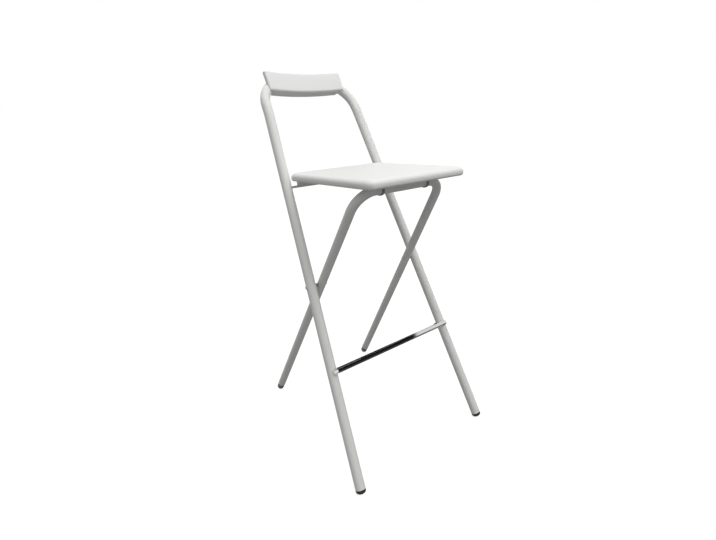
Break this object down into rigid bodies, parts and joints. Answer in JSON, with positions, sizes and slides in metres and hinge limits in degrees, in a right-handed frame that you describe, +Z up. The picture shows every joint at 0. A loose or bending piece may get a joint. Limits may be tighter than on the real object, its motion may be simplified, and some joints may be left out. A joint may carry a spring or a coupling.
{
  "type": "folding bar stool",
  "caption": "Folding bar stool with crossed tube frames, a moulded seat, a curved backrest on the taller frame and a footrest bar.",
  "frame": {"origin": "on the floor, at the middle of the bounding box of the opened stool", "axes": "+X across the stool, to the right as seen from its front, -Y to the front where the sitter's feet rest, +Z up"},
  "size_m": [0.4652, 0.5816, 0.9475],
  "materials": {
    "white_paint": "white powder coat, satin",
    "white_plastic": "moulded white plastic, fine texture",
    "chrome": "bright chrome plate",
    "steel": "zinc plated",
    "black_rubber": "black, matt",
    "grey_rubber": "dark grey, matt",
    "dark_plastic": "grey, matt"
  },
  "bodies": {
    "frame": {"front_leg_frame": "white_paint", "backrest_panel": "white_plastic", "backrest_screw_left": "steel", "backrest_screw_right": "steel", "footrest_bar": "chrome", "footrest_screw_left": "steel", "footrest_screw_right": "steel", "seat_support_rod": "white_paint", "front_foot_left": "black_rubber", "front_foot_right": "black_rubber", "leg_buffer_left": "black_rubber", "leg_buffer_right": "black_rubber", "pivot_rivet_left": "white_paint", "pivot_rivet_right": "white_paint", "pivot_spacer_left": "dark_plastic", "pivot_spacer_right": "dark_plastic"},
    "rear_legs": {"rear_leg_frame": "white_paint", "rear_foot_left": "grey_rubber", "rear_foot_right": "grey_rubber"},
    "seat": {"seat_panel": "white_plastic", "seat_clip_left": "dark_plastic", "seat_clip_right": "dark_plastic", "seat_clip_screw_left_front": "steel", "seat_clip_screw_left_rear": "steel", "seat_clip_screw_right_front": "steel", "seat_clip_screw_right_rear": "steel"}
  },
  "joints": [
    {"name": "leg_fold", "type": "hinge", "parent": "frame", "child": "rear_legs", "pos_m": [0, -0.02694, 0.448], "axis": [-1, 0, 0], "range_deg": [0, 52.5]},
    {"name": "seat_flip", "type": "hinge", "parent": "rear_legs", "child": "seat", "pos_m": [0, -0.15575, 0.69864], "axis": [1, 0, 0], "range_deg": [0, 122.4]}
  ],
  "couplings": [
    {"joint": "seat_flip", "follows": "leg_fold", "ratio": 2.33}
  ]
}
